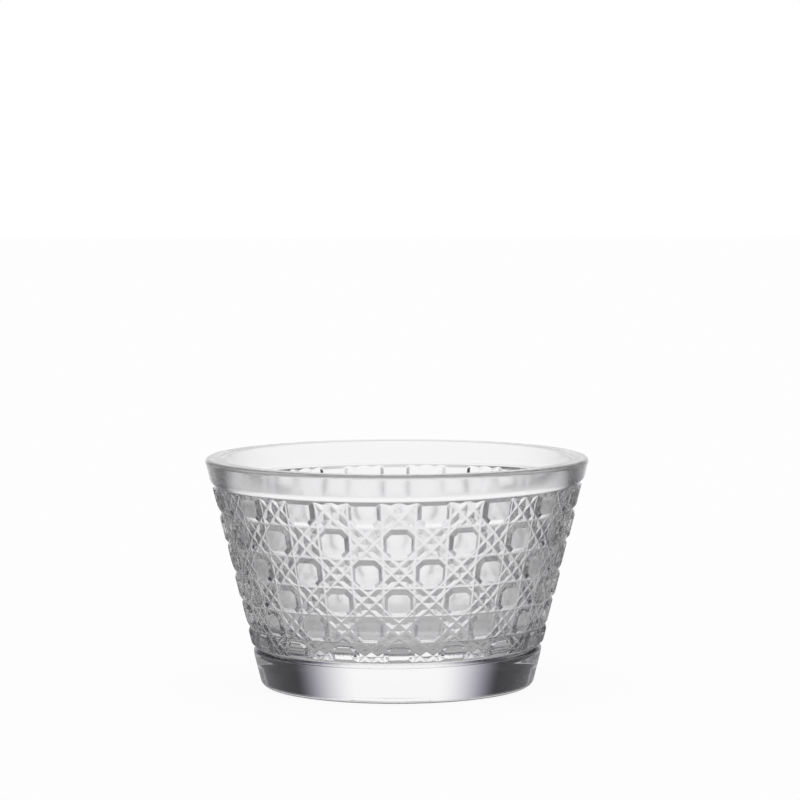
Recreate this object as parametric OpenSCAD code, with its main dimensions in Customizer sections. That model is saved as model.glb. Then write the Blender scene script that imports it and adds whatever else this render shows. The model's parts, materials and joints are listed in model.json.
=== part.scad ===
// Cut crystal bowl: a heavy tapered bowl, turned and polished, with a plain lip band above,
// a plain solid foot below, and a belt of cane cutting between two ring grooves.
// The cane cutting is upright and level mitre grooves in a grid, and pairs of slanting ones
// that cut across its corners. They leave an eight-sided button in every second cell and
// a small diamond with its points round it in every other cell.
// The origin is the middle of the face that the bowl stands on, and +Z is its axis.

/* [Overall size] */
// outside diameter at the widest part of the rim
rim_d = 140; // [110:1:200]
// height from the table to the top of the rim
bowl_h = 83.7; // [70:0.1:120]
// lean of the wall from upright, in degrees
lean = 14; // [8:0.1:18]
// thickness of the wall, measured level
wall_t = 6.5; // [5:0.1:9]

/* [Rim] */
// radius of both edges of the rim
rim_round = 1.4; // [0.6:0.1:2.2]
// drop from the top of the rim to the bottom of the upper ring groove
lip_h = 9.5; // [6:0.1:14]

/* [Foot] */
// height of the bottom of the lower ring groove above the table
foot_h = 14.4; // [9:0.1:20]
// radius of the edge round the base
foot_round = 4.8; // [1:0.1:6]

/* [Inside] */
// thickness of the glass under the inside floor
base_t = 17.8; // [12:0.1:24]
// radius of the corner between the inside floor and the wall
floor_round = 12; // [4:0.1:16]

/* [Ring grooves] */
// depth of the upper ring groove, measured level
upper_ring_depth = 1.05; // [0.7:0.05:1.3]
// height of the upper ring groove's slope above its bottom
upper_ring_rise = 2; // [1.2:0.1:3]
// height of the upper ring groove's slope below its bottom
upper_ring_drop = 1.7; // [1:0.1:3]
// depth of the lower ring groove, measured level
lower_ring_depth = 0.95; // [0.6:0.05:1.2]
// height of the lower ring groove's steep slope above its bottom
lower_ring_rise = 1.8; // [1.2:0.1:2.6]
// height of the lower ring groove's steep slope below its bottom
lower_ring_drop = 1.3; // [0.8:0.1:2]
// depth at which the lower ring groove's steep slopes turn into shallow ones
ring_shoulder = 0.27; // [0.2:0.01:0.4]
// height of each shallow slope
shallow_slope = 2.2; // [1:0.1:3]

/* [Cane cutting] */
// cells round the bowl, buttons and crossings together
cells = 34; // [24:2:40]
// level rows of cells, with the top and bottom ones cut short by the ring grooves
rows = 6; // [4:1:8]
// depth of the mitre grooves where the belt is widest, square to the wall
cut_depth = 1.05; // [0.6:0.05:1.3]
// half the width of an upright or slanting groove as a share of a cell
cut_half = 0.14; // [0.1:0.01:0.18]
// half the width of a level groove as a share of a cell
level_half = 0.17; // [0.12:0.01:0.19]
// share of a cell's side that a slanting groove cuts off at each corner
corner_cut = 0.24; // [0.21:0.01:0.28]
// height of the small points as a share of the groove depth
point_height = 0.7; // [0.5:0.05:0.9]
// how far the belt lies inside the lip band and the foot
belt_inset = 0.1; // [0.05:0.01:0.3]

/* [Hidden] */

glass = [0.87, 0.89, 0.92, 0.45];
round_fn = 160;
tilt = tan(lean);
rim_r = rim_d / 2;
widest_z = bowl_h - rim_round;
ring_top_z = bowl_h - lip_h;
inside_top_r = rim_r - wall_t;

// shares of a row that the ring grooves take from the rows at the belt's upper and lower end
upper_share = 0.15;
lower_share = 0.17;
// the inside of the belt's shell is sunk this far below its grooves, inside the wall
shell_sink = 0.9;
// the turned wall behind the belt stays this far below the grooves
core_gap = 0.4;

// the outside and the inside of the wall as straight lines
wall_top_r = rim_r + rim_round * (1 / cos(lean) - 1);
function outside_r(z) = wall_top_r - (widest_z - z) * tilt;
function inside_r(z) = inside_top_r - (widest_z - z) * tilt;

// distance along the wall from the point where its lines would meet, for a given height
apex_z = widest_z - wall_top_r / tilt;
function slant(z) = (z - apex_z) / cos(lean);

// every row is a fixed ratio taller than the row below it, so all cells keep one shape
row_growth = pow(slant(ring_top_z) / slant(foot_h), 1 / (rows - upper_share - lower_share));
belt_foot_s = slant(foot_h) / pow(row_growth, lower_share);
belt_rim_s = belt_foot_s * pow(row_growth, rows);

// a point of the belt: column, row, and depth below the wall as a share of the groove depth
function belt_point(column, row, share) =
    let (s = belt_foot_s * pow(row_growth, row),
         depth = belt_inset + share * cut_depth * s / belt_rim_s,
         r = s * sin(lean) - depth * cos(lean),
         turn = (column - 0.5) * 360 / cells - 90)
    [r * cos(turn), r * sin(turn), apex_z + s * cos(lean) + depth * sin(lean)];

// a place in the cell (i, j), with x and y as shares of the cell
function in_cell(i, j, x, y, share) = belt_point(i + x, j + y, share);

c = corner_cut;
w = cut_half;
v = level_half;
// where a slanting groove's edge meets a level groove's, and where it meets an upright one's
b = c + sqrt(2) * w - v;
a = c + sqrt(2) * w - w;
// middle of the little triangle between three grooves at a button cell's corner
m = c * (2 - sqrt(2)) / 2;
// height of the middle of the triangle on each side of a crossing cell
e = (0.5 - c) * (sqrt(2) - 1);
// the ridge of the five-sided point at each corner of a crossing cell runs from near to far
near = c / sqrt(2);
far = 0.5 - c;

// shares of the groove depth, from 0 at the top to 1 at the bottom
small_top = 1 - point_height;
edge_top = 1 - point_height * e / near;
corner_top = 1 - point_height * m / near;

// the points of one cell: first those on its lower and left sides, then those inside it
side_places = [[0, 0], [c, 0], [1 - c, 0], [0, c], [0, 1 - c]];
button_places = [[b, v], [1 - b, v], [1 - w, a], [1 - w, 1 - a],
                 [1 - b, 1 - v], [b, 1 - v], [w, 1 - a], [w, a]];
corner_places = [[m, m], [1 - m, m], [1 - m, 1 - m], [m, 1 - m]];
diamond_places = [[0.5, 0.5 - c], [0.5 + c, 0.5], [0.5, 0.5 + c], [0.5 - c, 0.5]];
near_places = [[near, near], [1 - near, near], [1 - near, 1 - near], [near, 1 - near]];
far_places = [[far, far], [1 - far, far], [1 - far, 1 - far], [far, 1 - far]];
edge_places = [[0.5, e], [1 - e, 0.5], [0.5, 1 - e], [e, 0.5]];

function placed(i, j, places, share) = [for (p = places) in_cell(i, j, p[0], p[1], share)];

function is_button(i, j) = (i + j) % 2 == 0;

function cell_points(i, j) = concat(
    placed(i, j, side_places, 1),
    is_button(i, j)
        ? concat(placed(i, j, button_places, 0), placed(i, j, corner_places, corner_top))
        : concat(placed(i, j, diamond_places, 1), placed(i, j, [[0.5, 0.5]], small_top),
                 placed(i, j, near_places, small_top), placed(i, j, far_places, small_top),
                 placed(i, j, edge_places, edge_top)));

// number of points in each kind of cell, and where the points of a cell begin
button_count = 17;
crossing_count = 22;
pair_count = button_count + crossing_count;
function first_of_pair(j) = is_button(0, j) ? button_count : crossing_count;
function start(i, j) = (j * cells / 2 + floor(i / 2)) * pair_count + (i % 2) * first_of_pair(j);

// the top edge of the belt has three points a column, and the inside of the shell has one
top_start = start(0, rows);
low_inner = top_start + 3 * cells;
high_inner = low_inner + cells;
function next(i) = (i + 1) % cells;

// the twelve points round a cell, anticlockwise from its lower left corner
function top_side(i, j, n) = j == rows - 1 ? top_start + 3 * i + n : start(i, j + 1) + n;
function top_corner(i, j) = top_side(i, j, 0);
function around(i, j) =
    let (l = start(i, j), r = start(next(i), j))
    [l, l + 1, l + 2,
     r, r + 3, r + 4,
     top_corner(next(i), j), top_side(i, j, 2), top_side(i, j, 1),
     top_corner(i, j), l + 4, l + 3];

// a button: three flat strips on top, eight bevels, and three faces at each corner
function button_faces(i, j) =
    let (o = around(i, j), t = start(i, j) + 5, q = t + 8)
    concat(
        [[t, t + 1, t + 4, t + 5], [t, t + 5, t + 6, t + 7], [t + 1, t + 2, t + 3, t + 4]],
        [for (n = [0:3]) each [
            [o[3 * n + 1], o[3 * n + 2], t + 2 * n + 1, t + 2 * n],
            [o[3 * n + 2], o[(3 * n + 4) % 12], t + (2 * n + 2) % 8, t + 2 * n + 1],
            [o[3 * n], o[3 * n + 1], q + n],
            [o[3 * n + 1], o[(3 * n + 11) % 12], q + n],
            [o[(3 * n + 11) % 12], o[3 * n], q + n]]]);

// a crossing: a diamond, then a five-sided point at each corner and a triangle on each side
function crossing_faces(i, j) =
    let (o = around(i, j), d = start(i, j) + 5, top = d + 4, near_at = d + 5, far_at = d + 9,
         edge_at = d + 13)
    [for (n = [0:3])
        let (before = (n + 3) % 4, left = o[(3 * n + 11) % 12])
        each [
            [d + n, d + (n + 1) % 4, top],
            [o[3 * n], o[3 * n + 1], near_at + n],
            [left, o[3 * n], near_at + n],
            [o[3 * n + 1], d + n, far_at + n, near_at + n],
            [d + before, left, near_at + n, far_at + n],
            [d + n, d + before, far_at + n],
            [o[3 * n + 1], o[3 * n + 2], edge_at + n],
            [o[3 * n + 2], d + n, edge_at + n],
            [d + n, o[3 * n + 1], edge_at + n]]];

// the ends and the inside of the shell, in faces that run from column to column
function end_faces(i) =
    let (n = next(i), foot = start(i, 0), rim = top_start + 3 * i)
    [[low_inner + n, start(n, 0), foot + 2, foot + 1, foot, low_inner + i],
     [high_inner + i, rim, rim + 1, rim + 2, top_start + 3 * n, high_inner + n],
     [low_inner + i, high_inner + i, high_inner + n, low_inner + n]];

function flipped(face) = [for (n = [len(face) - 1:-1:0]) face[n]];

// the belt: a shell with the cutting on its outside and its inside buried in the wall
module cane_belt() {
    inner_share = 1 + shell_sink / cut_depth;
    points = concat(
        [for (j = [0:rows - 1], i = [0:cells - 1]) each cell_points(i, j)],
        [for (i = [0:cells - 1], x = [0, c, 1 - c]) belt_point(i + x, rows, 1)],
        [for (i = [0:cells - 1]) belt_point(i, 0, inner_share)],
        [for (i = [0:cells - 1]) belt_point(i, rows, inner_share)]);
    outside = [for (j = [0:rows - 1], i = [0:cells - 1])
        each is_button(i, j) ? button_faces(i, j) : crossing_faces(i, j)];
    ends = [for (i = [0:cells - 1]) each end_faces(i)];
    polyhedron(points, [for (face = concat(outside, ends)) flipped(face)], convexity = 6);
}

// an arc of radius r that touches the wall's line and a level line: its middle, at height z,
// and the point where it touches the wall
function arc_middle(wall_r, z, r) = [wall_r - r / cos(lean), z];
function arc_on_wall(wall_r, z, r) = arc_middle(wall_r, z, r) + r * [cos(lean), -sin(lean)];

// half section of the hollow
module hollow_section() {
    turn_z = base_t + floor_round;
    middle = arc_middle(inside_r(turn_z), turn_z, floor_round);
    lip_middle = [inside_r(widest_z) + rim_round / cos(lean), widest_z];
    polygon([
        [0, base_t],
        [middle[0], base_t],
        arc_on_wall(inside_r(turn_z), turn_z, floor_round),
        lip_middle + rim_round * [-cos(lean), sin(lean)],
        [lip_middle[0], bowl_h],
        [lip_middle[0], bowl_h + 1],
        [0, bowl_h + 1]
    ]);
    translate(middle) circle(r = floor_round, $fn = round_fn);
}

// half section of the glass, with the wall set back behind the belt
module glass_section() {
    foot_middle = arc_middle(outside_r(foot_round), foot_round, foot_round);
    rim_middle = arc_middle(outside_r(widest_z), widest_z, rim_round);
    set_back = (cut_depth + core_gap) / cos(lean) + belt_inset;
    lip_middle = [inside_r(widest_z) + rim_round / cos(lean), widest_z];
    difference() {
        union() {
            polygon([
                [0, 0],
                [foot_middle[0], 0],
                arc_on_wall(outside_r(foot_round), foot_round, foot_round),
                [outside_r(foot_h), foot_h],
                [outside_r(foot_h) - set_back, foot_h],
                [outside_r(ring_top_z) - set_back, ring_top_z],
                [outside_r(ring_top_z), ring_top_z],
                arc_on_wall(outside_r(widest_z), widest_z, rim_round),
                [rim_middle[0], bowl_h],
                [0, bowl_h]
            ]);
            translate(foot_middle) circle(r = foot_round, $fn = round_fn);
            translate(rim_middle) circle(r = rim_round, $fn = round_fn);
        }
        hollow_section();
    }
    translate(lip_middle) circle(r = rim_round, $fn = round_fn);
}

// section of a ring groove from its lower end to its upper one. Each stop is a height from the
// groove's bottom and a depth in the wall, and the other side of the section is clear of the wall.
module ring_section(z, stops) {
    clear = outside_r(z) + 4;
    last = len(stops) - 1;
    polygon(concat(
        [for (p = stops) [outside_r(z + p[0]) - p[1], z + p[0]]],
        [[clear, z + stops[last][0]], [clear, z + stops[0][0]]]));
}

// a slope that runs on past the wall's surface at one end: where it is this far outside the wall
past = 0.3;
function past_end(height, depth) = height * (1 + past / depth);

module ring_grooves() {
    shallow = shallow_slope * (1 + past / ring_shoulder);
    rotate_extrude($fn = round_fn) {
        ring_section(ring_top_z, [
            [-past_end(upper_ring_drop, upper_ring_depth), -past],
            [0, upper_ring_depth],
            [past_end(upper_ring_rise, upper_ring_depth), -past]]);
        ring_section(foot_h, [
            [-lower_ring_drop - shallow, -past],
            [-lower_ring_drop, ring_shoulder],
            [0, lower_ring_depth],
            [lower_ring_rise, ring_shoulder],
            [lower_ring_rise + shallow, -past]]);
    }
}

module bowl() {
    color(glass)
        difference() {
            union() {
                rotate_extrude($fn = round_fn) glass_section();
                cane_belt();
            }
            ring_grooves();
        }
}

bowl();
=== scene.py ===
# %% [markdown]
# # A cut crystal bowl
# This lesson dresses a measured model of a heavy crystal bowl for a photograph. The bowl was blown as
# one gather of clear glass, turned, and then cut on a wheel with cane cutting: a grid of mitre grooves
# with slanting grooves across its corners. Then it was dipped in acid until every groove shone.
# The measured model comes first and stays as it is. It says where everything goes.

# %% Load the measured model
import json
from math import cos, pi, radians, sin, sqrt, tan

import bmesh
import bpy
import numpy as np
from mathutils import Matrix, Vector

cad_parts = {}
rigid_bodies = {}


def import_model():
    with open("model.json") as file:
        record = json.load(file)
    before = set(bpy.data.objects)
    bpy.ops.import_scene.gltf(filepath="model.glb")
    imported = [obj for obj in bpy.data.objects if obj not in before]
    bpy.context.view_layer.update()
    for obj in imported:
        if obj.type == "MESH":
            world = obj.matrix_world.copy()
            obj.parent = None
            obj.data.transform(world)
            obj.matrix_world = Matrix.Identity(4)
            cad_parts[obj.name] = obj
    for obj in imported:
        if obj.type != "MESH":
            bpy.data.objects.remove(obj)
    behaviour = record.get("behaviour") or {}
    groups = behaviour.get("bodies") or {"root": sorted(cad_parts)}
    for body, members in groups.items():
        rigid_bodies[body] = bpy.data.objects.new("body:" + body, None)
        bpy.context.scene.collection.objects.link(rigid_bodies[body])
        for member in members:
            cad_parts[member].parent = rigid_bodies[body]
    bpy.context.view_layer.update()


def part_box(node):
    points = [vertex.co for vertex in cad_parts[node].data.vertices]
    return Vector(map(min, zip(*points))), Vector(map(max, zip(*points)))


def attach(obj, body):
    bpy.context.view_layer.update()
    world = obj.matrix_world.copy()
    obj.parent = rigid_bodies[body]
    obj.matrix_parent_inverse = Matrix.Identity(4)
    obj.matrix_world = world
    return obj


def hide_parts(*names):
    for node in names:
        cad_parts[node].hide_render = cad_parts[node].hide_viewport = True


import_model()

low, high = (np.array(corner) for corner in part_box("bowl"))
print("measured bowl, mm:", np.round((high - low) * 1000, 2))

# %% [markdown]
# ## Sizes
# Everything is in metres. The rim's radius and the height are read from the measured model, so the
# glass can't outgrow it, and the rest are the sizes that the cutter would have on a drawing.

# %% Sizes of the bowl
MM = 0.001
LEAN = radians(14)                      # lean of the wall from upright
RIM_R = min(high[0], high[1])           # radius at the widest part of the rim
HEIGHT = high[2]
WALL = 6.5 * MM                         # thickness of the wall, measured level
RIM_ROUND = 1.4 * MM                    # radius of both edges of the rim
LIP_Z = HEIGHT - 9.5 * MM               # deepest line of the ring groove under the lip
FOOT_Z = 14.4 * MM                      # top of the plain foot, where the lower ring groove lies
FOOT_ROUND = 3 * MM                     # radius of the edge round the base
BASE = 17.8 * MM                        # glass under the inside floor
FLOOR_ROUND = 12 * MM                    # radius between the inside floor and the wall

WIDEST_Z = HEIGHT - RIM_ROUND
WALL_TOP_R = RIM_R + RIM_ROUND * (1 / cos(LEAN) - 1)


def outside_r(z):
    """Radius of the outside of the wall: a straight line that leans out by the tangent of the lean."""
    return WALL_TOP_R - (WIDEST_Z - z) * tan(LEAN)


def inside_r(z):
    """Radius of the inside of the wall, one wall's thickness further in at every height."""
    return RIM_R - WALL - (WIDEST_Z - z) * tan(LEAN)


print("radius at the table, mm:", round(outside_r(0) / MM, 2))

# %% [markdown]
# ## The turned body
# A glassmaker's block and a lathe make every plain surface of the bowl: foot, lip and hollow. So the
# body is half a section, carried round the axis. A section of points and arcs gives clean rings of
# faces, which matter more here than anywhere: glass shows a bent reflection at every flat spot.
# Behind the cutting the section is set back, because the belt of cuts brings its own surface.

# %% Sections and turned surfaces
ROUND = 264                             # steps round the bowl


def arc(middle, radius, start, end, steps):
    """Points on a circle about a middle (r, z), from one angle to another in degrees, both included."""
    turn = np.radians(np.linspace(start, end, steps + 1))
    return np.stack([middle[0] + radius * np.cos(turn), middle[1] + radius * np.sin(turn)], axis=1)


def turned(name, section, closed=False):
    """A section of points (r, z) carried round the Z axis: x = r cos t, y = r sin t.
    A point on the axis becomes one shared vertex. A closed section makes a ring."""
    section = np.asarray(section, dtype=float)
    turn = np.arange(ROUND) * 2 * pi / ROUND
    on_axis = section[:, 0] < 1e-9
    size = np.where(on_axis, 1, ROUND)
    first = np.concatenate([[0], np.cumsum(size)])[:-1]
    points = [np.array([[0, 0, z]]) if pole else
              np.stack([r * np.cos(turn), r * np.sin(turn), np.full(ROUND, z)], axis=1)
              for (r, z), pole in zip(section, on_axis)]
    here = np.arange(ROUND)
    after = (here + 1) % ROUND
    faces = []
    rows = range(len(section) if closed else len(section) - 1)
    for n in rows:
        m = (n + 1) % len(section)
        if on_axis[n]:
            part = [np.full(ROUND, first[n]), first[m] + after, first[m] + here]
        elif on_axis[m]:
            part = [first[n] + here, first[n] + after, np.full(ROUND, first[m])]
        else:
            part = [first[n] + here, first[n] + after, first[m] + after, first[m] + here]
        faces += np.stack(part, axis=1).tolist()
    return solid(name, np.concatenate(points), faces)


def solid(name, points, faces):
    """A closed mesh object from points and faces, with every face turned outward."""
    mesh = bpy.data.meshes.new(name)
    mesh.from_pydata(points, [], faces)
    form = bmesh.new()
    form.from_mesh(mesh)
    bmesh.ops.recalc_face_normals(form, faces=form.faces[:])
    form.to_mesh(mesh)
    form.free()
    made = bpy.data.objects.new(name, mesh)
    bpy.context.scene.collection.objects.link(made)
    return made


# %% The plain glass
CUT_DEPTH = 1.2 * MM                    # depth of a groove where the belt is widest, square to the wall
BELT_INSET = 0.1 * MM                   # the belt lies this far inside the lip and the foot
BEHIND_CUTS = 0.4 * MM                  # the body's wall lies this far below the grooves
set_back = (CUT_DEPTH + BEHIND_CUTS) / cos(LEAN) + BELT_INSET
lean_deg = np.degrees(LEAN)
foot_middle = (outside_r(FOOT_ROUND) - FOOT_ROUND / cos(LEAN), FOOT_ROUND)
rim_middle = (outside_r(WIDEST_Z) - RIM_ROUND / cos(LEAN), WIDEST_Z)
lip_middle = (inside_r(WIDEST_Z) + RIM_ROUND / cos(LEAN), WIDEST_Z)
corner_z = BASE + FLOOR_ROUND
corner_middle = (inside_r(corner_z) - FLOOR_ROUND / cos(LEAN), corner_z)

section = np.concatenate([
    [(0, 0), (foot_middle[0] * 0.5, 0)],
    arc(foot_middle, FOOT_ROUND, -90, -lean_deg, 14),
    [(outside_r(FOOT_Z), FOOT_Z), (outside_r(FOOT_Z) - set_back, FOOT_Z),
     (outside_r(LIP_Z) - set_back, LIP_Z), (outside_r(LIP_Z), LIP_Z)],
    arc(rim_middle, RIM_ROUND, -lean_deg, 90, 10),
    arc(lip_middle, RIM_ROUND, 90, 180 - lean_deg, 8),
    arc(corner_middle, FLOOR_ROUND, -lean_deg, -90, 16),
    [(corner_middle[0] * 0.5, BASE), (0, BASE)]])
body = turned("body", section)
print("body:", len(body.data.vertices), "points")

# %% [markdown]
# ## The belt of cane cutting
# The cutter marks the cone with upright and level lines. Each row is a fixed ratio taller than the row
# below, so every cell has one shape. A groove is cut along each line, and four slanting grooves pass
# through the corners of each cell. What is left is an eight-sided button in every second cell, and
# a small diamond with points round it in every other one.
# So the belt has two small patterns of faces, a button and a crossing, written in shares of a cell with
# a share of the groove's depth at each corner. They are copied over the grid and carried onto the cone.

# %% From shares of a cell to the cone
CELLS, ROWS = 34, 6
TURN, TILT = radians(0.65), radians(0.47)   # the marks are a little turned and out of level
UPPER_SHARE, LOWER_SHARE = 0.15, 0.17   # what the ring grooves take of the rows at the belt's ends
RUN_OUT = 0.4                           # share of the end rows in which a groove runs out
SHALLOW = 0.4                           # share of its depth that it keeps at the belt's ends
apex_z = WIDEST_Z - WALL_TOP_R / tan(LEAN)


def slant(z):
    """Distance along the wall from the point where its lines would meet, at a height."""
    return (z - apex_z) / cos(LEAN)


growth = (slant(LIP_Z) / slant(FOOT_Z)) ** (1 / (ROWS - UPPER_SHARE - LOWER_SHARE))
belt_foot_s = slant(FOOT_Z) / growth ** LOWER_SHARE
belt_rim_s = belt_foot_s * growth ** ROWS


def on_cone(places):
    """Points of the belt from rows of (column, row, share of depth).
    The slant distance grows by a fixed ratio a row, the column turns about the axis, and the depth goes
    into the wall, square to it. Toward the belt's two ends the grooves run out to a shallower cut. The
    sunk inside of the shell, with a share over 1, keeps its depth."""
    column, row, share = np.asarray(places).T
    turn = (column - 0.5) * 2 * pi / CELLS - pi / 2 + TURN
    s = belt_foot_s * growth ** row * (1 + np.cos(turn) * tan(LEAN) * tan(TILT))
    full = np.clip(np.minimum(row, ROWS - row) / RUN_OUT, 0, 1) * (1 - SHALLOW) + SHALLOW
    depth = BELT_INSET + share * np.where(share > 1, 1, full) * CUT_DEPTH * s / belt_rim_s
    r = s * sin(LEAN) - depth * cos(LEAN)
    height = apex_z + s * cos(LEAN) + depth * sin(LEAN)
    return np.stack([r * np.cos(turn), r * np.sin(turn), height], axis=1)


print("rows grow by", round(growth, 4))

# %% Widths of the cuts, in shares of a cell
CUT_HALF = 0.14                         # half the width of an upright or slanting groove
LEVEL_HALF = 0.17                       # half the width of a level groove
CORNER_CUT = 0.24                       # what a slanting groove cuts off at each corner
POINT = 0.75                            # height of the small points as a share of the depth
STEPS = 3                               # pieces in each side, so that level lines follow the cone

c, w, v = CORNER_CUT, CUT_HALF, LEVEL_HALF
b = c + sqrt(2) * w - v                 # where a slanting groove's edge meets a level one's
a = c + sqrt(2) * w - w                 # and an upright one's
m = c * (2 - sqrt(2)) / 2               # middle of the little triangle at a button's corner
e = (0.5 - c) * (sqrt(2) - 1)           # height of the triangle on each side of a crossing
near, far = c / sqrt(2), 0.5 - c        # ends of the ridge of a five-sided point
low_top, edge_top, corner_top = 1 - POINT, 1 - POINT * e / near, 1 - POINT * m / near
print("slanting cuts reach", round(b, 3), "of a cell along its edge")


# %% Turning and mirroring faces
def quarter_turns(faces):
    """The faces of one side and corner, and their three copies turned about the cell's middle:
    a quarter turn takes (x, y) to (1 - y, x)."""
    turned_faces = []
    for face in faces:
        place = np.asarray(face, dtype=float)
        for _ in range(4):
            turned_faces.append(place)
            place = np.stack([1 - place[:, 1], place[:, 0], place[:, 2]], axis=1)
    return turned_faces


def side(x0, x1, y, share):
    """Points along a side, from x0 to x1 at height y, all at one share of the depth."""
    return [(x0 + (x1 - x0) * n / STEPS, y, share) for n in range(STEPS + 1)]


def half_turn(faces):
    """The faces of the left half as well: (x, y) goes to (1 - x, 1 - y)."""
    return faces + [np.stack([1 - face[:, 0], 1 - face[:, 1], face[:, 2]], axis=1) for face in faces]


def mirrored(faces):
    """The faces and their mirror images: (x, y) goes to (1 - x, y), with the corners in reverse."""
    return faces + [np.stack([1 - face[:, 0], face[:, 1], face[:, 2]], axis=1)[::-1] for face in faces]


# %% A button and a crossing
groove = side(c, 1 - c, 0, 1)
upright = [(0, x, 1) for x, _, _ in groove]
edge = side(b, 1 - b, v, 0)
upright_edge = [(w, a + (1 - 2 * a) * n / STEPS, 0) for n in range(STEPS + 1)]
corner = [[(c, 0, 1), (b, v, 0), (w, a, 0), (0, c, 1)],
          [(0, 0, 1), (c, 0, 1), (m, m, corner_top)],
          [(c, 0, 1), (0, c, 1), (m, m, corner_top)],
          [(0, c, 1), (0, 0, 1), (m, m, corner_top)]]
corners = mirrored([np.array(face) for face in corner])
bevels = [np.array([groove[n], groove[n + 1], edge[n + 1], edge[n]]) for n in range(STEPS)]
bevels += [np.array([upright[n + 1], upright[n], upright_edge[n], upright_edge[n + 1]]) for n in range(STEPS)]
top_edge = [(x, 1 - y, share) for x, y, share in edge]
flat_top = [np.array([edge[n], edge[n + 1], top_edge[n + 1], top_edge[n]]) for n in range(STEPS)]
flat_left = [np.array([edge[0], top_edge[0]] + upright_edge[::-1])]
button = half_turn(corners + bevels + flat_left) + flat_top
crossing = quarter_turns(
    [[groove[n], groove[n + 1], (0.5, e, edge_top)] for n in range(STEPS)]
    + [[(1 - c, 0, 1), (0.5, far, 1), (0.5, e, edge_top)],
       [(0.5, far, 1), (c, 0, 1), (0.5, e, edge_top)],
       [(0, 0, 1), (c, 0, 1), (near, near, low_top)],
       [(0, c, 1), (0, 0, 1), (near, near, low_top)],
       [(c, 0, 1), (0.5, far, 1), (far, far, low_top), (near, near, low_top)],
       [(far, 0.5, 1), (0, c, 1), (near, near, low_top), (far, far, low_top)],
       [(0.5, far, 1), (far, 0.5, 1), (far, far, low_top)],
       [(0.5, far, 1), (0.5 + c, 0.5, 1), (0.5, 0.5, low_top)]])
print("faces of a button and of a crossing:", len(button), len(crossing))

# %% The belt as a closed shell
SHELL_SINK = 0.9 * MM                   # the shell's inside lies this far below the grooves, in the wall


def copies(pattern, cells):
    """Every face of a pattern in each of the cells: whole arrays of (column, row, share)."""
    return [cells[:, None, :] + face[None, :, :] for face in pattern]


def belt_shell():
    """The cutting on the outside, a sunk inside, and an end above and below.
    Equal places are merged, after the last column is joined to the first."""
    column, row = np.meshgrid(np.arange(CELLS), np.arange(ROWS), indexing="ij")
    grid = np.stack([column.ravel(), row.ravel(), np.zeros(column.size)], axis=1)
    is_button = (column + row).ravel() % 2 == 0
    blocks = copies(button, grid[is_button]) + copies(crossing, grid[~is_button])
    stops = np.unique(np.concatenate([[0], [x for x, _, _ in groove]]))
    around = (np.arange(CELLS)[:, None] + stops[None, :]).ravel()
    after = np.append(around[1:], CELLS)
    inner = 1 + SHELL_SINK / CUT_DEPTH
    loop = [(0, inner), (0, 1), (ROWS, 1), (ROWS, inner)]
    for (row_a, share_a), (row_b, share_b) in [(loop[0], loop[1]), (loop[2], loop[3]), (loop[3], loop[0])]:
        blocks.append(np.stack([
            np.stack([u, np.full_like(u, r), np.full_like(u, s)], axis=1)
            for u, r, s in [(around, row_a, share_a), (around, row_b, share_b),
                            (after, row_b, share_b), (after, row_a, share_a)]], axis=1))
    flat = np.concatenate([block.reshape(-1, 3) for block in blocks])
    flat[:, 0] %= CELLS
    keys = np.round(flat, 6)
    keys[:, 0] %= CELLS
    places, index = np.unique(keys, axis=0, return_inverse=True)
    faces, at = [], 0
    for block in blocks:
        count, corners = block.shape[:2]
        faces += index[at:at + count * corners].reshape(count, corners).tolist()
        at += count * corners
    return places, faces


places, faces = belt_shell()
belt = solid("belt", on_cone(places), faces)
print("belt:", len(places), "points,", len(faces), "faces")

# %% [markdown]
# ## Soft edges
# Acid polishing eats the sharp edges first, and a wheel never has a perfect point. So groove bottoms are
# round and about a millimetre wide, and they show as bright lines. The ridges keep a thinner round
# edge. A Bevel modifier makes both, with a weight on each edge. The weights come from the mesh: edges
# between two faces that nearly line up get none.

# %% Weights for grooves and ridges
GROOVE_WIDTH = 0.95 * MM                # width of the round bottom of a groove
RIDGE_WEIGHT = 0.3                      # width of a ridge's round edge as a share of that
LINED_UP = radians(7)                   # an edge that turns by less than this isn't softened


def edge_angles(mesh):
    """The angle between the two faces at every edge, from the faces' normals."""
    edge_of = np.empty(len(mesh.loops), dtype=np.int64)
    mesh.loops.foreach_get("edge_index", edge_of)
    sides = np.empty(len(mesh.polygons), dtype=np.int64)
    mesh.polygons.foreach_get("loop_total", sides)
    face_of = np.repeat(np.arange(len(sides)), sides)
    pairs = face_of[np.argsort(edge_of, kind="stable")].reshape(-1, 2)
    normals = np.empty(len(sides) * 3)
    mesh.polygons.foreach_get("normal", normals)
    normals = normals.reshape(-1, 3)
    return np.arccos(np.clip(np.sum(normals[pairs[:, 0]] * normals[pairs[:, 1]], axis=1), -1, 1))


ends = np.empty(len(belt.data.edges) * 2, dtype=np.int64)
belt.data.edges.foreach_get("vertices", ends)
row, share = places[ends.reshape(-1, 2)][:, :, 1], places[ends.reshape(-1, 2)][:, :, 2]
at_end = ((row == 0) | (row == ROWS)).all(axis=1)
sunk = (share > 1).any(axis=1)
in_groove = (share == 1).all(axis=1)
weight = np.where(in_groove, 1.0, RIDGE_WEIGHT)
weight[(edge_angles(belt.data) < LINED_UP) | at_end | sunk] = 0
belt.data.attributes.new("bevel_weight_edge", "FLOAT", "EDGE").data.foreach_set("value", weight)
soften = belt.modifiers.new("soft edges", "BEVEL")
soften.limit_method = "WEIGHT"
soften.offset_type = "WIDTH"
soften.width = GROOVE_WIDTH
soften.segments = 3
soften.use_clamp_overlap = False
print("edges softened:", int((weight > 0).sum()), "of", len(weight))

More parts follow.
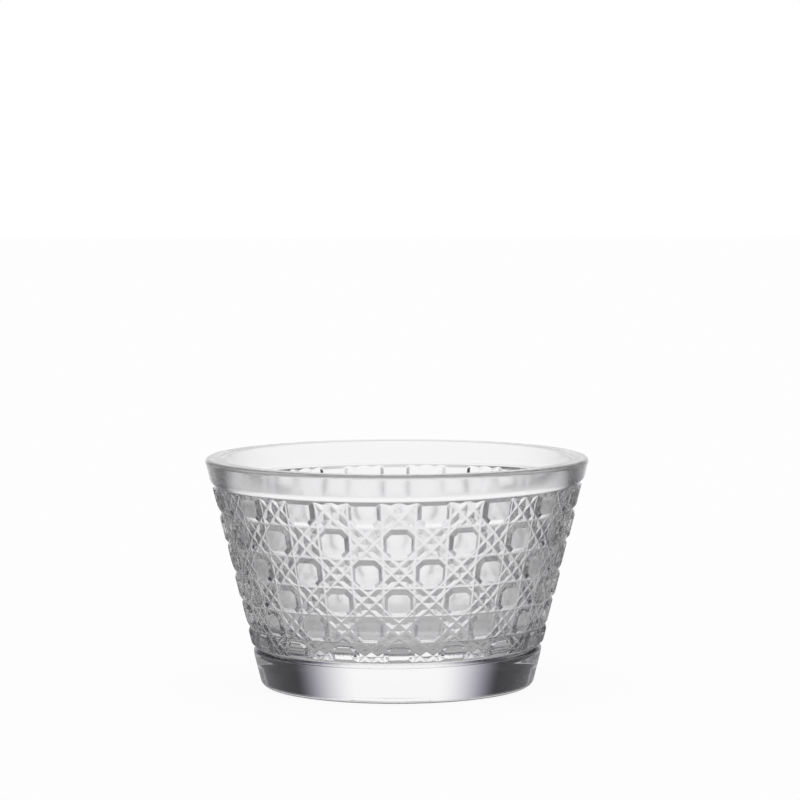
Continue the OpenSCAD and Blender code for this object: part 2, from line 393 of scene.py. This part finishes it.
# %% [markdown]
# ## The ring grooves, and one piece of glass
# Two plain rings are cut last, one under the lip and one over the foot. They end the pattern cleanly,
# and they cut through the cells that they cross. Boolean modifiers do what the wheel does: the belt is
# joined to the body, and then the rings are taken away. The result is one closed surface, which
# is what a glass shader needs, because light must find one way in and one way out.

# %% Cut and join
RING_EDGE = 0.5 * MM                    # width of the soft edges of a ring groove
RING_CLEAR = 4 * MM                     # the ring that is taken away reaches this far out of the wall
# Each ring from its lower end to its upper one: height from its line, and depth in the wall, in mm.
UPPER_RING = [(-2.6, -0.3), (-1.6, 0.06), (0, 1.3), (2.0, -0.06), (2.6, -0.4)]
LOWER_RING = [(-4.4, -0.2), (-1.0, 0.2), (0.6, 1.4), (1.9, 0.2), (3.0, -0.3)]


def ring_tool(name, z, profile):
    """The ring of glass that a groove takes away. Its inner side follows the profile, and its outer side
    runs clear of the wall. The ring is as much out of level as the belt: each point slides along the
    wall by x tan(tilt)."""
    inner = [(outside_r(z + rise * MM) - depth * MM, z + rise * MM) for rise, depth in profile]
    clear = outside_r(z) + RING_CLEAR
    section = inner + [(clear, inner[-1][1]), (clear, inner[0][1])]
    ring = turned(name, section, closed=True)
    points = np.empty(len(ring.data.vertices) * 3)
    ring.data.vertices.foreach_get("co", points)
    points = points.reshape(-1, 3)
    rise = points[:, 0] * tan(TILT)
    radius = np.hypot(points[:, 0], points[:, 1])
    points[:, :2] *= ((radius + rise * tan(LEAN)) / radius)[:, None]
    points[:, 2] += rise
    ring.data.vertices.foreach_set("co", points.ravel())
    soft = ring.modifiers.new("soft edges", "BEVEL")
    soft.limit_method, soft.angle_limit = "ANGLE", radians(5)
    soft.offset_type, soft.width, soft.segments = "WIDTH", RING_EDGE, 3
    return ring


tools = [(belt, "UNION"), (ring_tool("upper ring", LIP_Z, UPPER_RING), "DIFFERENCE"),
         (ring_tool("lower ring", FOOT_Z, LOWER_RING), "DIFFERENCE")]
for tool, operation in tools:
    step = body.modifiers.new(tool.name, "BOOLEAN")
    step.operation, step.object, step.solver = operation, tool, "MANIFOLD"
bpy.context.view_layer.update()
glass_mesh = bpy.data.meshes.new_from_object(body.evaluated_get(bpy.context.evaluated_depsgraph_get()))
glass_mesh.name = "crystal_bowl"
bowl = bpy.data.objects.new("crystal_bowl", glass_mesh)
bpy.context.scene.collection.objects.link(bowl)
for made in [body] + [tool for tool, _ in tools]:
    bpy.data.objects.remove(made)
print("glass:", len(glass_mesh.polygons), "faces")

# %% Check that it is closed, and shade it
SAME_PLACE = 0.001 * MM                 # points nearer than this are one point
SHARP = radians(34)                     # edges that turn by more than this stay sharp

form = bmesh.new()
form.from_mesh(glass_mesh)
bmesh.ops.remove_doubles(form, verts=form.verts[:], dist=SAME_PLACE)
bmesh.ops.dissolve_degenerate(form, dist=SAME_PLACE, edges=form.edges[:])
open_edges = sum(not edge.is_manifold for edge in form.edges)
form.to_mesh(glass_mesh)
form.free()
glass_mesh.polygons.foreach_set("use_smooth", np.ones(len(glass_mesh.polygons), dtype=bool))
glass_mesh.set_sharp_from_angle(angle=SHARP)
glass_mesh.calc_loop_triangles()
print("triangles:", len(glass_mesh.loop_triangles), "open edges:", open_edges)
flatten = bowl.modifiers.new("flat facets, round edges", "WEIGHTED_NORMAL")
flatten.mode = "FACE_AREA"
flatten.weight = 100
flatten.keep_sharp = True
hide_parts("bowl")
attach(bowl, "root")

# %% [markdown]
# ## Sums in a material
# A material is a small calculation for every point of the surface. Wiring it by hand is slow to read,
# so a short class wraps a socket and lets Python's own signs add the Math nodes. Every other kind of
# node comes from one method that sets its options first and then its inputs.

# %% Nodes written as sums
class Term:
    """A socket in a node tree. A sum or product of terms adds the Math nodes for it."""

    def __init__(self, tree, socket):
        self.tree, self.socket = tree, socket

    def maths(self, operation, *values):
        """A Math node with this term as its first value."""
        return self.tree.node("ShaderNodeMath", {"operation": operation}, dict(enumerate((self,) + values)))

    def __add__(self, other):
        return self.maths("ADD", other)

    def __sub__(self, other):
        return self.maths("SUBTRACT", other)

    def __rsub__(self, other):
        return self * -1 + other

    def __mul__(self, other):
        return self.maths("MULTIPLY", other)

    def __getitem__(self, output):
        """Another output of the same node."""
        return Term(self.tree, self.socket.node.outputs[output])

    def smooth(self, start, end):
        """0 before start, 1 after end, and a soft step between them."""
        return self.tree.node("ShaderNodeMapRange", {"interpolation_type": "SMOOTHSTEP"},
                              {"Value": self, "From Min": start, "From Max": end})


class Tree:
    """The nodes of one material or world, empty at first."""

    def __init__(self, owner):
        owner.use_nodes = True
        self.tree = owner.node_tree
        self.tree.nodes.clear()

    def node(self, kind, settings=None, inputs=None, output=0):
        """A node of a kind, with its settings first and then the value or link of each input."""
        made = self.tree.nodes.new(kind)
        for name, value in (settings or {}).items():
            setattr(made, name, value)
        for name, value in (inputs or {}).items():
            if isinstance(value, Term):
                self.tree.links.new(value.socket, made.inputs[name])
            else:
                made.inputs[name].default_value = value
        return Term(self, made.outputs[output]) if made.outputs else made


# %% [markdown]
# ## Crystal
# Crystal bends light a little more than window glass, with an index of 1.54. It is nearly colourless.
# A faint waviness stays in anything that was blown and polished by hand, and the face that stands on
# the table collects fine scuffs. Both are only in the Normal and the Roughness.

# %% The crystal
BENDS = 1.54                            # index of refraction
BLOWN = 0.13                            # roughness of the inside, which wasn't cut or polished on a wheel
SCUFFED = 0.25                          # roughness of a scuff on the base

crystal = bpy.data.materials.new("crystal")
tree = Tree(crystal)
place = tree.node("ShaderNodeTexCoord", output="Object")
waves = tree.node("ShaderNodeTexNoise", {"noise_dimensions": "3D"},
                  {"Vector": place, "Scale": 60.0, "Detail": 1.0, "Roughness": 0.4})
wavy = tree.node("ShaderNodeBump", None, {"Strength": 0.02, "Distance": MM, "Height": waves})
split = tree.node("ShaderNodeSeparateXYZ", None, {"Vector": place})
height = split["Z"]
radius = (split["X"] * split["X"] + split["Y"] * split["Y"]).maths("SQRT")
in_wall = height * tan(LEAN) + (outside_r(0) - WALL / 2) - radius
blown = in_wall.smooth(-0.5 * MM, 0.5 * MM) * height.smooth(1 * MM, 2 * MM)
scuffs = tree.node("ShaderNodeTexNoise", {"noise_dimensions": "3D"},
                   {"Vector": place, "Scale": 900.0, "Detail": 3.0, "Roughness": 0.6})
worn = (1 - height.smooth(0.2 * MM, 0.8 * MM)) * scuffs.smooth(0.45, 0.75)
glass = tree.node("ShaderNodeBsdfPrincipled", None, {
    "Base Color": (0.996, 0.994, 1.0, 1), "Roughness": worn * SCUFFED + blown * BLOWN, "IOR": BENDS,
    "Transmission Weight": 1.0, "Normal": wavy})
tree.node("ShaderNodeOutputMaterial", None, {"Surface": glass})
glass_mesh.materials.clear()
glass_mesh.materials.append(crystal)
print("material:", crystal.name)

# %% [markdown]
# ## Light for glass
# Glass is drawn by its edges. A photographer puts a white panel behind it and keeps the sides dark, so
# the middle is clear and every edge and facet picks up a dark line from the sides. Here the world is
# that panel with a dark gap on each side of it, as the glass sees it. Past the gaps it is light again
# for what is seen straight through the glass, and dim for what the glass reflects, so that the bowl is
# not black from its sides and its back. The camera itself sees plain white, and a matt surface would be
# lit evenly from all round.

# %% The room
LIT, DARK = radians(11), radians(36.3)  # the panel's light fades from the first turn to the second
SIDE = radians(66), radians(86)         # the light comes back from the first turn to the second
FRONT = 0.08                            # what reflections see of the light at the sides and the front
ROOM_GAP = 0.03                         # light of the dark gaps
HIGH = 0.45, 0.7                        # the ceiling comes in between these rises of a look of length 1
CEILING = 0.08                          # light from above
DIM_COLOUR = (0.86, 0.84, 1, 1)         # the dim parts of the room are faintly violet


def touched_glass(tree):
    """1 for rays that the glass has reflected or let through, and 0 for the camera's own rays."""
    path = tree.node("ShaderNodeLightPath")
    return path["Is Glossy Ray"].maths("MAXIMUM", path["Is Transmission Ray"])


def round_light(tree, x, y, gap):
    """Light toward a level direction (x, y): 1 straight behind and the gap's light between the panels.
    At the sides and the front it is 1 again for a ray that hasn't been reflected, and dim for one that
    has. The turn from straight behind is the arc tangent of x over y, without its sign."""
    turn = x.maths("ARCTAN2", y).maths("ABSOLUTE")
    through = tree.node("ShaderNodeLightPath", output="Glossy Depth").maths("LESS_THAN", 1)
    panels = 1 - turn.smooth(LIT, DARK) + turn.smooth(*SIDE) * (through * (1 - FRONT) + FRONT)
    return panels * (1 - gap) + gap


world = bpy.data.worlds.new("light room")
bpy.context.scene.world = world
room = Tree(world)
seen = touched_glass(room)
look = room.node("ShaderNodeSeparateXYZ", None, {
    "Vector": room.node("ShaderNodeTexCoord", output="Generated")})
high_up = look["Z"].smooth(*HIGH)
level = round_light(room, look["X"], look["Y"], ROOM_GAP) * (1 - high_up) + high_up * CEILING
colour = room.node("ShaderNodeMix", {"data_type": "RGBA"}, {
    "Factor": level.maths("MINIMUM", 1.0), 6: DIM_COLOUR, 7: (1, 1, 1, 1)}, output=2)
white = room.node("ShaderNodeBackground", None, {"Color": colour, "Strength": seen * level + (1 - seen)})
room.node("ShaderNodeOutputWorld", None, {"Surface": white})
print("nodes in the room:", len(room.tree.nodes))

# %% [markdown]
# ## The table
# The table is plain white. The camera sees it at nearly full white, with a little of its shading left
# in, so that the bowl keeps a faint shadow. To the glass it is a glowing sheet with painted light on it:
# the panels and gaps of the room, painted on by place. The painted light comes in about a hand's width
# from the bowl. Nearer than that less of it is left, and round and under the foot there is a painted half
# shade, which the hollow shows.

# %% The table
TABLE = 4.0                             # half the side of the table
UNDER_BOWL = 0.2 * MM                   # the table lies this far below the base
PAINTED_LIGHT_RADII = 0.12, 0.26                   # the painted panel light comes in between these radii, where the painted shade ends
PAST_FOOT = 0.05, 0.08                  # and a smaller share of the painted light between these
NEAR = 0.3                              # share of the painted panel light nearer than where the painted shade ends
TABLE_GAP = 0.12                        # painted light on the table in the dark gaps
PAINTED_SHADE = 0.4                             # even painted light of the painted half shade under the foot and round it
WHITE_SHARE = 0.93                      # share of plain white in what the camera sees, the rest is shaded
square = np.array([(-1, -1, 0), (1, -1, 0), (1, 1, 0), (-1, 1, 0)]) * TABLE - np.array([0, 0, UNDER_BOWL])
sheet = bpy.data.meshes.new("table")
sheet.from_pydata(square.tolist(), [], [(0, 1, 2, 3)])
table = bpy.data.objects.new("table", sheet)
bpy.context.scene.collection.objects.link(table)
paint = bpy.data.materials.new("table white")
top = Tree(paint)
spot = top.node("ShaderNodeSeparateXYZ", None, {"Vector": top.node("ShaderNodeTexCoord", output="Object")})
out = (spot["X"] * spot["X"] + spot["Y"] * spot["Y"]).maths("SQRT")
# Painted light for the glass: the panels' light and gaps are painted onto the table by place, with a painted
# half shade near and under the foot.
painted_light_share = out.smooth(*PAINTED_LIGHT_RADII)
under = 1 - painted_light_share
reach = painted_light_share + out.smooth(*PAST_FOOT) * under * NEAR
level = round_light(top, spot["X"], spot["Y"], TABLE_GAP) * reach + under * PAINTED_SHADE
# The table glows with this painted light and painted shade for rays that come from the glass. It is no lamp.
painted_light = top.node("ShaderNodeEmission", None, {"Color": (1, 1, 1, 1), "Strength": level})
matt = top.node("ShaderNodeBsdfDiffuse", None, {"Color": (0.9, 0.9, 0.9, 1)})
glow = top.node("ShaderNodeEmission", None, {"Color": (1, 1, 1, 1), "Strength": 1.0})
to_camera = top.node("ShaderNodeLightPath", output="Is Camera Ray")
plain = top.node("ShaderNodeMixShader", None, {0: to_camera * WHITE_SHARE, 1: matt, 2: glow})
top.node("ShaderNodeOutputMaterial", None, {
    "Surface": top.node("ShaderNodeMixShader", None, {0: touched_glass(top), 1: plain, 2: painted_light})})
sheet.materials.append(paint)
print("nodes in the table's material:", len(top.tree.nodes))

# %% [markdown]
# ## Camera
# The photograph was taken with a long lens from a little above the rim. The angle, distance and lens
# were worked out from the rim's and the foot's ellipses.

# %% The camera
STANDS_AT = (0, -1.4319, 0.2224)        # the camera's place
LOOKS_DOWN, ROLL = 4.7126, -0.1268      # in degrees
LENS, FILM = 177.2, 36                  # focal length and width of the film, in mm
SHIFT = 0.0041                          # sideways shift of the lens, as a share of the film's width

bpy.context.scene.view_settings.view_transform = "Standard"
cycles = bpy.context.scene.cycles
cycles.max_bounces = 24
cycles.transmission_bounces = 24
cycles.glossy_bounces = 12
cycles.transparent_max_bounces = 12
lens = bpy.data.cameras.new("camera")
lens.sensor_width = FILM
lens.lens = LENS
lens.shift_x = SHIFT
camera = bpy.data.objects.new("camera", lens)
camera.matrix_world = (Matrix.Translation(STANDS_AT)
                       @ Matrix.Rotation(radians(90 - LOOKS_DOWN), 4, "X")
                       @ Matrix.Rotation(radians(ROLL), 4, "Z"))
bpy.context.scene.collection.objects.link(camera)
bpy.context.scene.camera = camera
print("lens, mm:", LENS)
